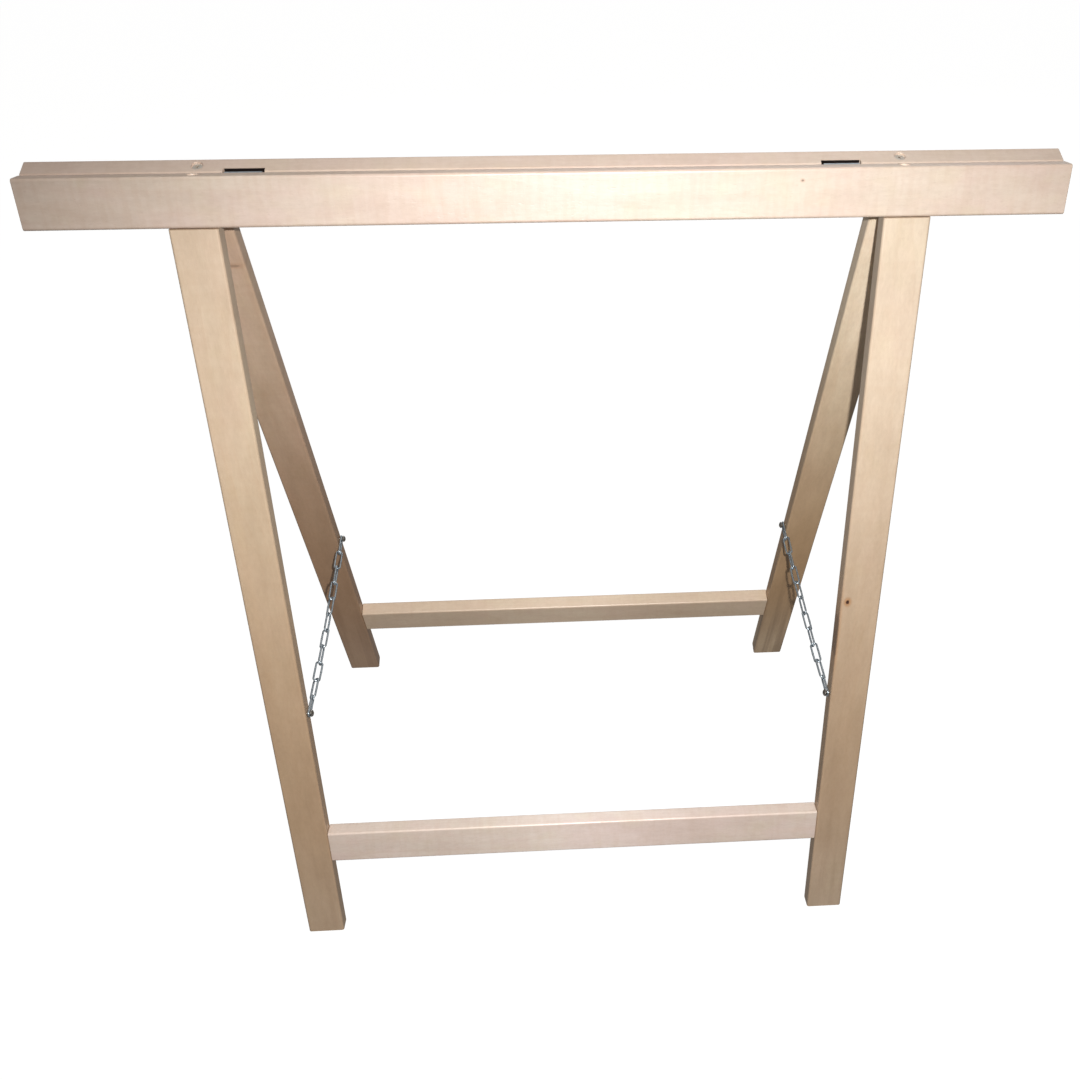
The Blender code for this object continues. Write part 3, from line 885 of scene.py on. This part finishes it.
def make_pin(side):
    """A hinge pin, peened at both ends."""
    sizes, gap = hinges(), timber().joint_gap
    stop = sizes.size / 2 + gap
    end = stop + sizes.pin_end
    head = sizes.pin_head
    outline = [(head * 0.55, end), (head * 0.9, end - 0.2 * MM), (head, stop + 0.3 * MM)]
    outline += [(head, stop), (sizes.pin, stop)]
    outline += [(radius, -height) for radius, height in reversed(outline)]
    piece = tidy(turned(f"{side}_hinge_pin_steel", outline, 24), 35)
    return move(piece, hinge_matrix(side, "front") @ aimed((0, 0, 0), (1, 0, 0)))


# The chain's links from the front screw to the rear one, as turns about their length in degrees
LINK_ROLLS = (92, 35, 155, 98, 18, 108, 30, 150, 92, 152, 90)
MIDDLE = len(LINK_ROLLS) // 2


def link_slopes():
    """How far each link dips towards the chain's middle."""
    return [chains().dip * (MIDDLE - k) / MIDDLE for k in range(len(LINK_ROLLS))]


def end_reach():
    """From an end link's middle to its screw."""
    gap = timber().joint_gap
    return (chains().inner - gap) / 2 - screws().chain_shank - gap / 2


def link_spans():
    """The length of chain that each link takes up."""
    step = chains().inner - timber().joint_gap
    end = step / 2 + end_reach()
    return [end] + [step] * (len(LINK_ROLLS) - 2) + [end]


def chain_spread():
    """Between a chain's two screws, in a straight line."""
    return sum(reach * math.cos(slope) for reach, slope in zip(link_spans(), link_slopes()))


def chain_drop():
    """How far below the pins' axis a chain screw sits."""
    lean = timber().lean
    return (chain_spread() / 2 - chain_outset() * math.cos(lean)) / math.sin(lean)


def make_link(name):
    """A long link of round wire with its weld, lying in the XY plane with its length along Y."""
    sizes = chains()
    bend = sizes.width / 2 - sizes.wire
    reach = sizes.inner / 2 + sizes.wire - bend
    bpy.ops.object.select_all(action="DESELECT")
    bpy.ops.mesh.primitive_torus_add(
        major_segments=28, minor_segments=14, major_radius=bend, minor_radius=sizes.drawn
    )
    piece = named(name)
    editing(piece)
    for way in (-1, 1):
        pick(piece, lambda vert: vert.co.y * way > sizes.wire * 0.01)
        bpy.ops.transform.translate(value=(0, way * reach, 0))
    # The straight sides: a ring in the middle of each, and a weld's bulge on one
    pick(piece, lambda edge: all(abs(v.co.y) < 1e-5 and v.co.x > 0 for v in edge.verts), "edges")
    bpy.ops.mesh.bevel(offset=1.1 * MM, segments=4, profile=0.5, affect="EDGES")
    for limit, swell in ((0.8 * MM, 1.10), (0.3 * MM, 1.08)):
        pick(piece, lambda vert: abs(vert.co.y) < limit and vert.co.x > 0)
        bpy.ops.transform.resize(value=(swell, 1, swell), center_override=(bend, 0, 0))
    return tidy(done(piece), 60)


def link_matrices(side):
    """Each link's place, from the front screw to the rear one."""
    x = leg_x(side) + INWARD[side] * (timber().width / 2 + chains().play + chains().wire)
    lean = timber().lean
    height = pin_height() - chain_drop() * math.cos(lean) + chain_outset() * math.sin(lean)
    place = Vector((x, -chain_spread() / 2, height))
    step = (chains().inner - timber().joint_gap) / 2
    places = []
    for number, (slope, reach) in enumerate(zip(link_slopes(), link_spans())):
        direction = Vector((0, math.cos(slope), -math.sin(slope)))
        ahead = step if number else end_reach()
        roll = LINK_ROLLS[number] if side == "right" else 180 - LINK_ROLLS[number]
        turn = Matrix.Rotation(-slope, 4, "X") @ Matrix.Rotation(math.radians(roll), 4, "Y")
        places.append(Matrix.Translation(place + direction * ahead) @ turn)
        place = place + direction * reach
    return places


# Operators -----------------------------------------------------------------------------------------


class SAWHORSE_OT_rails(bpy.types.Operator):
    """Model the two top rails"""

    bl_idname = "sawhorse.rails"
    bl_label = "Top Rails"

    def execute(self, context):
        speck = Knot(along=0.187, across=0.0095, radius=0.0007, strength=0.6, squeeze=0.75)
        make_rail("front", 11, Tone(0.25, 0.80, 0.15), (0.91, 0.93, 1.02), [speck])
        make_rail("rear", 12, Tone(0.30, 0.35, 0.30), (0.87, 0.88, 0.96))
        return {"FINISHED"}


class SAWHORSE_OT_legs(bpy.types.Operator):
    """Model the four legs"""

    bl_idname = "sawhorse.legs"
    bl_label = "Legs"

    def execute(self, context):
        heart = Knot(along=0.0225, across=0.0125, radius=0.0020, strength=1.0, squeeze=0.75)
        streak = Knot(along=-0.012, across=0.0188, radius=0.0014, strength=0.50, squeeze=0.05)
        smear = Knot(along=0.3157, across=-0.0095, radius=0.0062, strength=0.30, squeeze=3.4)
        make_leg("front", "left", 21, Tone(0.40, 0.25, 0.52), (0.96, 0.95, 0.92))
        make_leg("front", "right", 22, Tone(0.40, 0.20, 0.52), (0.91, 0.92, 0.93), [heart, streak])
        make_leg("rear", "left", 23, Tone(0.55, 0.60, 0.70), (0.90, 0.84, 0.82), [smear])
        make_leg("rear", "right", 24, Tone(0.50, 0.30, 0.88), (1.19, 1.25, 1.25))
        return {"FINISHED"}


class SAWHORSE_OT_stretchers(bpy.types.Operator):
    """Model the two stretchers"""

    bl_idname = "sawhorse.stretchers"
    bl_label = "Stretchers"

    def execute(self, context):
        make_stretcher("front", 31, Tone(0.30, 0.60, 0.20), (1.04, 1.08, 1.24))
        make_stretcher("rear", 32, Tone(0.15, 0.35, 0.15), (0.97, 0.94, 0.92))
        return {"FINISHED"}


class SAWHORSE_OT_hinges(bpy.types.Operator):
    """Model both hinges: leaves and pins"""

    bl_idname = "sawhorse.hinges"
    bl_label = "Hinges"

    def execute(self, context):
        plate = zinc("zinc hinge sheet", 5, 0.45, finishes().zinc)
        for side in SIDES:
            for which in OUTWARD:
                leaf = make_leaf(side, which)
                fitted(leaf, f"{side}_hinge_{which}_leaf", f"{which}_frame", plate)
            fitted(make_pin(side), f"{side}_hinge_pin", "front_frame", plate)
        return {"FINISHED"}


class SAWHORSE_OT_screws(bpy.types.Operator):
    """Model the countersunk screws in the hinges, the rails and the legs"""

    bl_idname = "sawhorse.screws"
    bl_label = "Countersunk Screws"

    def execute(self, context):
        sizes, hinge = screws(), hinges()
        plating = zinc("zinc screw plating", 6, 0.20, finishes().screw)
        small = (sizes.leaf_head, sizes.leaf_shank, sizes.leaf_cone, sizes.leaf)
        leaf = countersunk_screw("leaf_screw", *small)
        rail = countersunk_screw("rail_screw", sizes.head, sizes.shank, sizes.cone, sizes.rail)
        cross = countersunk_screw("stretcher_screw", sizes.head, sizes.shank, sizes.cone, sizes.stretcher)
        chance = random.Random(3)

        def drive(master, which, node, place, direction):
            """Put a copy of a screw in its place, its recess at any angle."""
            piece = copied(master, f"{node}_steel")
            spin = Matrix.Rotation(chance.uniform(0, math.pi), 4, "Z")
            move(piece, lean_matrix(which) @ aimed(place, direction) @ spin)
            fitted(piece, node, f"{which}_frame", plating)

        for which, way in OUTWARD.items():
            for side in SIDES:
                for number, step in enumerate((-1, 1), start=1):
                    height = -hinge.sunk - hinge.screw_drop
                    place = (hinge_x(side) + step * hinge.screw_x, way * (inner_face() + LEAF_GAP), height)
                    drive(leaf, which, f"{side}_hinge_{which}_screw_{number}", place, (0, way, 0))
                place = (rail_screw_x(side), way * middle_out(), -sizes.sink)
                drive(rail, which, f"{which}_{side}_rail_screw", place, (0, 0, -1))
                place, direction = stretcher_screw_place(which, side)
                place = place + direction * sizes.sink
                drive(cross, which, f"{which}_{side}_stretcher_screw", place, direction)
        for master in (leaf, rail, cross):
            bpy.data.objects.remove(master, do_unlink=True)
        return {"FINISHED"}


class SAWHORSE_OT_chain_screws(bpy.types.Operator):
    """Model the four round-head screws that hold the chains"""

    bl_idname = "sawhorse.chain_screws"
    bl_label = "Chain Screws"

    def execute(self, context):
        steel = bright_steel("bright turned steel")
        master = round_head_screw("chain_screw")
        chance = random.Random(4)
        for which in OUTWARD:
            for side in SIDES:
                piece = copied(master, f"{which}_{side}_chain_screw_steel")
                spin = Matrix.Rotation(chance.uniform(0, math.pi), 4, "Z")
                move(piece, lean_matrix(which) @ aimed(*chain_screw_place(which, side)) @ spin)
                fitted(piece, f"{which}_{side}_chain_screw", f"{which}_frame", steel)
        bpy.data.objects.remove(master, do_unlink=True)
        return {"FINISHED"}


class SAWHORSE_OT_chains(bpy.types.Operator):
    """Model both chains, eleven links each"""

    bl_idname = "sawhorse.chains"
    bl_label = "Chains"

    def execute(self, context):
        wire = zinc("zinc chain wire", 7, 0.60, finishes().zinc)
        master = make_link("link")
        for side in SIDES:
            for number, place in enumerate(link_matrices(side), start=1):
                piece = move(copied(master, f"{side}_link_{number:02d}_wire"), place)
                node, body = f"{side}_chain_link_{number:02d}", f"{side}_link_{number:02d}"
                fitted(piece, node, body, wire)
        bpy.data.objects.remove(master, do_unlink=True)
        return {"FINISHED"}


# Where the stage's lights stand, and where the key light aims
KEY_FROM_EYE = Vector((0.055, 0.0, 0.045))
KEY_TARGET = Vector((0.10, -0.10, 0.33))
CEILING_PLACE = (0.1, 0.3, 2.3)
BACK_PLACE = (0.5, 2.0, 1.3)


class SAWHORSE_OT_stage(bpy.types.Operator):
    """Set up the floor, the light and the camera"""

    bl_idname = "sawhorse.stage"
    bl_label = "Stage"

    def backdrop(self, scene, sizes):
        """Warm dim light from all around, with a pale backdrop for the camera alone."""
        scene.world = bpy.data.worlds.new("studio")
        scene.world.use_nodes = True
        tree = scene.world.node_tree
        ambient = tree.nodes["Background"]
        ambient.inputs["Color"].default_value = (1.0, 0.90, 0.80, 1)
        ambient.inputs["Strength"].default_value = sizes.ambient
        pale = tree.nodes.new("ShaderNodeBackground")
        pale.inputs["Color"].default_value = (*finishes().floor, 1)
        pale.inputs["Strength"].default_value = sizes.glow
        mirrored = tree.nodes.new("ShaderNodeBackground")
        mirrored.inputs["Strength"].default_value = sizes.gleam
        path = tree.nodes.new("ShaderNodeLightPath")
        seen = ambient
        for ray, light in (("Is Glossy Ray", mirrored), ("Is Camera Ray", pale)):
            mix = tree.nodes.new("ShaderNodeMixShader")
            for number, socket in enumerate((path.outputs[ray], seen.outputs[0], light.outputs[0])):
                tree.links.new(socket, mix.inputs[number])
            seen = mix
        tree.links.new(seen.outputs[0], tree.nodes["World Output"].inputs["Surface"])

    def execute(self, context):
        scene = context.scene
        sizes = scene.sawhorse_stage
        bpy.ops.object.select_all(action="DESELECT")
        bpy.ops.mesh.primitive_plane_add(size=sizes.floor_size, location=(0, 0, -0.0002))
        floor = named("floor")
        pale = Finish("pale floor")
        shine = {"Base Color": (0.12, 0.12, 0.12, 1), "Roughness": 0.9, "Specular IOR Level": 0.0}
        shine.update({"Emission Color": (*finishes().floor, 1), "Emission Strength": sizes.glow})
        floor.data.materials.append(pale.surface(shine))
        floor.visible_diffuse = floor.visible_glossy = False
        self.backdrop(scene, sizes)

        turn = Matrix.Rotation(sizes.yaw, 3, "Z") @ Matrix.Rotation(sizes.tilt, 3, "X")
        turn = turn @ Matrix.Rotation(sizes.roll, 3, "Z")
        bpy.ops.object.camera_add(location=sizes.eye, rotation=turn.to_euler())
        camera = bpy.context.object
        camera.name = "camera"
        camera.data.lens, camera.data.sensor_width = sizes.lens, 36
        camera.data.shift_x, camera.data.shift_y = sizes.shift_x, sizes.shift_y
        camera.data.clip_start = 0.01
        scene.camera = camera

        bpy.ops.object.light_add(type="SPOT", location=Vector(sizes.eye) + KEY_FROM_EYE)
        key = bpy.context.object
        key.name = "key"
        key.data.energy = sizes.key
        key.data.shadow_soft_size = 0.012
        key.data.spot_size, key.data.spot_blend = math.radians(94), 1.0
        key.data.color = (1.0, 0.985, 0.965)
        key.rotation_euler = (KEY_TARGET - key.location).to_track_quat("-Z", "Y").to_euler()
        bpy.ops.object.light_add(type="AREA", location=CEILING_PLACE)
        fill = bpy.context.object
        fill.name = "ceiling"
        fill.data.energy, fill.data.size = sizes.fill, 1.8
        fill.data.color = (1.0, 0.97, 0.94)
        bpy.ops.object.light_add(type="AREA", location=BACK_PLACE, rotation=(math.radians(-75), 0, 0))
        back = bpy.context.object
        back.name = "back"
        back.data.energy, back.data.size = sizes.back, 1.6
        scene.view_settings.view_transform = "Standard"
        return {"FINISHED"}


OPERATORS = (
    SAWHORSE_OT_rails,
    SAWHORSE_OT_legs,
    SAWHORSE_OT_stretchers,
    SAWHORSE_OT_hinges,
    SAWHORSE_OT_screws,
    SAWHORSE_OT_chain_screws,
    SAWHORSE_OT_chains,
    SAWHORSE_OT_stage,
)


class SAWHORSE_PT_panel(bpy.types.Panel):
    """Lists the sawhorse's pieces"""

    bl_label = "Folding Sawhorse"
    bl_space_type = "VIEW_3D"
    bl_region_type = "UI"
    bl_category = "Sawhorse"

    def draw(self, context):
        for operator in OPERATORS:
            self.layout.operator(operator.bl_idname)
        for name, group in GROUPS.items():
            column = self.layout.box().column()
            for key in group.__annotations__:
                column.prop(getattr(context.scene, name), key)


def register():
    """Register the properties, the operators and the panel."""
    for name, group in GROUPS.items():
        bpy.utils.register_class(group)
        setattr(bpy.types.Scene, name, bpy.props.PointerProperty(type=group))
    for item in (*OPERATORS, SAWHORSE_PT_panel):
        bpy.utils.register_class(item)


def unregister():
    """Take them all away again."""
    for item in reversed((*OPERATORS, SAWHORSE_PT_panel)):
        bpy.utils.unregister_class(item)
    for name, group in GROUPS.items():
        delattr(bpy.types.Scene, name)
        bpy.utils.unregister_class(group)


def main():
    """Register the sizes, then make every piece and the stage."""
    register()
    bpy.ops.object.select_all(action="DESELECT")
    for operator in OPERATORS:
        area, action = operator.bl_idname.split(".")
        getattr(getattr(bpy.ops, area), action)()


if __name__ == "__main__":
    main()
